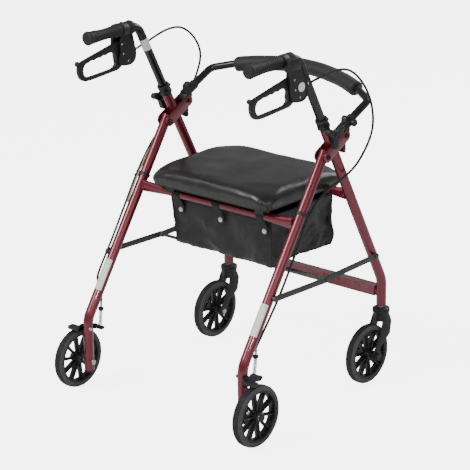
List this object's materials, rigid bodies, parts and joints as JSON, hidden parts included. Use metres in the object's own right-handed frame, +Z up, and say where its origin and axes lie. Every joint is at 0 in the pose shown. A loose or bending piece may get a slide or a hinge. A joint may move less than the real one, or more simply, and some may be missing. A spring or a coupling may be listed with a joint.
{
  "type": "rollator walker",
  "caption": "Folding wheeled walking frame with swivelling front castors, flip-up padded seat, hoop backrest, hanging bag, sliding handles and loop-lever cable brakes.",
  "frame": {"origin": "on the floor, under the middle of the walker's bounding box", "axes": "+X to the user's right, +Y the way the walker rolls, towards the castors, +Z up"},
  "size_m": [0.626, 0.6384, 0.9115],
  "materials": {
    "frame_paint": "metallic gloss",
    "black_tube": "gloss",
    "link_paint": "satin",
    "steel": "zinc plated",
    "black_plastic": "fine grained",
    "grip_rubber": "matte",
    "tyre": "matte",
    "seat_vinyl": "fine grained vinyl",
    "pad_foam": "soft foam",
    "bag_cloth": "woven nylon"
  },
  "bodies": {
    "front_frame": {"front_leg_right": "frame_paint", "front_leg_left": "frame_paint", "front_seat_rail": "frame_paint", "lower_front_rail": "frame_paint", "leg_collar_right": "black_plastic", "leg_collar_left": "black_plastic", "fold_bolt_right": "steel", "fold_bolt_left": "steel", "backrest_bolt_right": "steel", "backrest_bolt_left": "steel", "castor_stem_right": "steel", "castor_stem_left": "steel", "brake_cable_right": "grip_rubber", "brake_cable_left": "grip_rubber"},
    "rear_frame": {"rear_leg_right": "frame_paint", "rear_leg_left": "frame_paint", "rear_seat_rail": "frame_paint", "rear_axle_right": "steel", "rear_axle_left": "steel", "brake_spring_right": "steel", "brake_spring_left": "steel", "bag": "bag_cloth"},
    "brake_arm_right": {"brake_arm_right": "black_plastic"},
    "brake_arm_left": {"brake_arm_left": "black_plastic"},
    "front_links": {"front_link_right": "link_paint", "front_link_left": "link_paint", "cross_rod": "link_paint"},
    "rear_links": {"rear_link_right": "link_paint", "rear_link_left": "link_paint"},
    "seat": {"seat_pan": "black_plastic", "seat_pad": "seat_vinyl", "seat_clip_right": "black_plastic", "seat_clip_left": "black_plastic"},
    "handle_right": {"handle_tube_right": "black_tube", "grip_right": "grip_rubber", "brake_housing_right": "black_plastic"},
    "handle_left": {"handle_tube_left": "black_tube", "grip_left": "grip_rubber", "brake_housing_left": "black_plastic"},
    "lever_right": {"brake_lever_right": "black_plastic"},
    "lever_left": {"brake_lever_left": "black_plastic"},
    "knob_right": {"height_knob_right": "black_plastic"},
    "knob_left": {"height_knob_left": "black_plastic"},
    "castor_right": {"castor_fork_right": "black_plastic", "castor_axle_right": "steel"},
    "castor_left": {"castor_fork_left": "black_plastic", "castor_axle_left": "steel"},
    "front_wheel_right": {"front_wheel_right": "black_plastic", "front_tyre_right": "tyre"},
    "front_wheel_left": {"front_wheel_left": "black_plastic", "front_tyre_left": "tyre"},
    "rear_wheel_right": {"rear_wheel_right": "black_plastic", "rear_tyre_right": "tyre"},
    "rear_wheel_left": {"rear_wheel_left": "black_plastic", "rear_tyre_left": "tyre"},
    "backrest": {"backrest_bar": "black_tube", "backrest_pad": "pad_foam", "backrest_socket_right": "black_plastic", "backrest_socket_left": "black_plastic"}
  },
  "joints": [
    {"name": "frame_fold", "type": "hinge", "parent": "front_frame", "child": "rear_frame", "pos_m": [0, 0.0575, 0.633], "axis": [1, 0, 0], "range_deg": [0, 36], "deforming": ["bag", "brake_cable_right", "brake_cable_left"]},
    {"name": "front_links_swing", "type": "hinge", "parent": "front_frame", "child": "front_links", "pos_m": [0, 0.2477, 0.3338], "axis": [1, 0, 0], "range_deg": [-45, 0]},
    {"name": "rear_links_swing", "type": "hinge", "parent": "rear_frame", "child": "rear_links", "pos_m": [0, -0.1448, 0.3352], "axis": [1, 0, 0], "range_deg": [0, 50]},
    {"name": "seat_flip", "type": "hinge", "parent": "front_frame", "child": "seat", "pos_m": [0, 0.1595, 0.512], "axis": [-1, 0, 0], "range_deg": [0, 85]},
    {"name": "backrest_fold", "type": "hinge", "parent": "front_frame", "child": "backrest", "pos_m": [0, 0.1285, 0.67], "axis": [1, 0, 0], "range_deg": [0, 70]},
    {"name": "handle_slide_right", "type": "slide", "parent": "front_frame", "child": "handle_right", "axis": [0, -0.4571, 0.8894], "range_m": [-0.127, 0.0254]},
    {"name": "handle_slide_left", "type": "slide", "parent": "front_frame", "child": "handle_left", "axis": [0, -0.4571, 0.8894], "range_m": [-0.127, 0.0254]},
    {"name": "knob_turn_right", "type": "hinge", "parent": "front_frame", "child": "knob_right", "pos_m": [0.253, 0.07007, 0.686], "axis": [1, 0, 0], "range_deg": [0, 720]},
    {"name": "knob_turn_left", "type": "hinge", "parent": "front_frame", "child": "knob_left", "pos_m": [-0.253, 0.07007, 0.686], "axis": [-1, 0, 0], "range_deg": [0, 720]},
    {"name": "lever_squeeze_right", "type": "hinge", "parent": "handle_right", "child": "lever_right", "pos_m": [0.2715, -0.074, 0.846], "axis": [1, 0, 0], "range_deg": [-18, 12]},
    {"name": "lever_squeeze_left", "type": "hinge", "parent": "handle_left", "child": "lever_left", "pos_m": [-0.2715, -0.074, 0.846], "axis": [1, 0, 0], "range_deg": [-18, 12]},
    {"name": "brake_arm_swing_right", "type": "hinge", "parent": "rear_frame", "child": "brake_arm_right", "pos_m": [0.253, -0.242, 0.16], "axis": [1, 0, 0], "range_deg": [-4, 4], "deforming": ["brake_spring_right"]},
    {"name": "brake_arm_swing_left", "type": "hinge", "parent": "rear_frame", "child": "brake_arm_left", "pos_m": [-0.253, -0.242, 0.16], "axis": [1, 0, 0], "range_deg": [-4, 4], "deforming": ["brake_spring_left"]},
    {"name": "castor_swivel_right", "type": "hinge", "parent": "front_frame", "child": "castor_right", "pos_m": [0.253, 0.2895, 0.184], "axis": [0, 0, 1], "continuous": true},
    {"name": "castor_swivel_left", "type": "hinge", "parent": "front_frame", "child": "castor_left", "pos_m": [-0.253, 0.2895, 0.184], "axis": [0, 0, 1], "continuous": true},
    {"name": "front_wheel_spin_right", "type": "hinge", "parent": "castor_right", "child": "front_wheel_right", "pos_m": [0.253, 0.2315, 0.0762], "axis": [1, 0, 0], "continuous": true},
    {"name": "front_wheel_spin_left", "type": "hinge", "parent": "castor_left", "child": "front_wheel_left", "pos_m": [-0.253, 0.2315, 0.0762], "axis": [1, 0, 0], "continuous": true},
    {"name": "rear_wheel_spin_right", "type": "hinge", "parent": "rear_frame", "child": "rear_wheel_right", "pos_m": [0.292, -0.243, 0.0762], "axis": [1, 0, 0], "continuous": true},
    {"name": "rear_wheel_spin_left", "type": "hinge", "parent": "rear_frame", "child": "rear_wheel_left", "pos_m": [-0.292, -0.243, 0.0762], "axis": [1, 0, 0], "continuous": true}
  ],
  "couplings": [
    {"joint": "front_links_swing", "follows": "frame_fold", "ratio": -1.1772},
    {"joint": "rear_links_swing", "follows": "frame_fold", "ratio": 1.3144},
    {"joint": "brake_arm_swing_right", "follows": "lever_squeeze_right", "ratio": -0.2},
    {"joint": "brake_arm_swing_left", "follows": "lever_squeeze_left", "ratio": -0.2}
  ]
}
